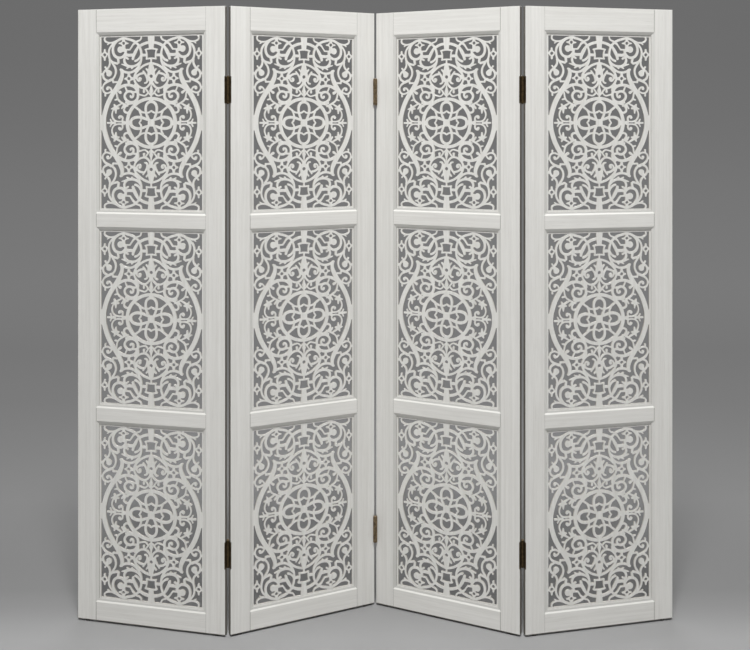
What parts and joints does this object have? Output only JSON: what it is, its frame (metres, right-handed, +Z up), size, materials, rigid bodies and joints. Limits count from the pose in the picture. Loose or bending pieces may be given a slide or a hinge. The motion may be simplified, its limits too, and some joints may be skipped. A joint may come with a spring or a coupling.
{
  "type": "room divider",
  "caption": "Folding room divider: white-washed wooden leaves hinged in a zigzag, each a bevelled frame with pierced scroll-and-leaf fretwork panels, to screen off part of a room.",
  "frame": {"origin": "middle of the standing screen's box, on the floor", "axes": "+X to the right seen from the front, +Y to the back, +Z up"},
  "size_m": [1.7324, 0.23, 1.778],
  "materials": {
    "frame_wood": "white-washed, matt, fine grain",
    "fretwork": "white-washed, matt",
    "hinge_metal": "antique bronze, satin",
    "screw_metal": "antique bronze, satin",
    "glide": "dark, matt"
  },
  "bodies": {
    "leaf_1": {"leaf_1_stile_left": "frame_wood", "leaf_1_stile_right": "frame_wood", "leaf_1_rail_top": "frame_wood", "leaf_1_rail_upper": "frame_wood", "leaf_1_rail_lower": "frame_wood", "leaf_1_rail_bottom": "frame_wood", "leaf_1_panel_top": "fretwork", "leaf_1_panel_middle": "fretwork", "leaf_1_panel_bottom": "fretwork", "hinge_12_upper_plate_1": "hinge_metal", "hinge_12_lower_plate_1": "hinge_metal", "leaf_1_screws": "screw_metal", "leaf_1_glides": "glide"},
    "leaf_2": {"leaf_2_stile_left": "frame_wood", "leaf_2_stile_right": "frame_wood", "leaf_2_rail_top": "frame_wood", "leaf_2_rail_upper": "frame_wood", "leaf_2_rail_lower": "frame_wood", "leaf_2_rail_bottom": "frame_wood", "leaf_2_panel_top": "fretwork", "leaf_2_panel_middle": "fretwork", "leaf_2_panel_bottom": "fretwork", "hinge_12_upper_plate_2": "hinge_metal", "hinge_12_lower_plate_2": "hinge_metal", "hinge_23_upper_plate_2": "hinge_metal", "hinge_23_lower_plate_2": "hinge_metal", "hinge_12_pins": "hinge_metal", "hinge_23_pins": "hinge_metal", "leaf_2_screws": "screw_metal", "leaf_2_glides": "glide"},
    "leaf_3": {"leaf_3_stile_left": "frame_wood", "leaf_3_stile_right": "frame_wood", "leaf_3_rail_top": "frame_wood", "leaf_3_rail_upper": "frame_wood", "leaf_3_rail_lower": "frame_wood", "leaf_3_rail_bottom": "frame_wood", "leaf_3_panel_top": "fretwork", "leaf_3_panel_middle": "fretwork", "leaf_3_panel_bottom": "fretwork", "hinge_23_upper_plate_3": "hinge_metal", "hinge_23_lower_plate_3": "hinge_metal", "hinge_34_upper_plate_3": "hinge_metal", "hinge_34_lower_plate_3": "hinge_metal", "leaf_3_screws": "screw_metal", "leaf_3_glides": "glide"},
    "leaf_4": {"leaf_4_stile_left": "frame_wood", "leaf_4_stile_right": "frame_wood", "leaf_4_rail_top": "frame_wood", "leaf_4_rail_upper": "frame_wood", "leaf_4_rail_lower": "frame_wood", "leaf_4_rail_bottom": "frame_wood", "leaf_4_panel_top": "fretwork", "leaf_4_panel_middle": "fretwork", "leaf_4_panel_bottom": "fretwork", "hinge_34_upper_plate_4": "hinge_metal", "hinge_34_lower_plate_4": "hinge_metal", "hinge_34_pins": "hinge_metal", "leaf_4_screws": "screw_metal", "leaf_4_glides": "glide"}
  },
  "joints": [
    {"name": "hinge_12", "type": "hinge", "parent": "leaf_2", "child": "leaf_1", "pos_m": [-0.41729, -0.09457, 0], "axis": [0, 0, 1], "range_deg": [-137.9, 42.1]},
    {"name": "hinge_23", "type": "hinge", "parent": "leaf_2", "child": "leaf_3", "pos_m": [0, 0.0965, 0], "axis": [0, 0, 1], "range_deg": [-124.2, 55.8]},
    {"name": "hinge_34", "type": "hinge", "parent": "leaf_3", "child": "leaf_4", "pos_m": [0.41729, -0.09457, 0], "axis": [0, 0, 1], "range_deg": [-42.1, 137.9]}
  ]
}
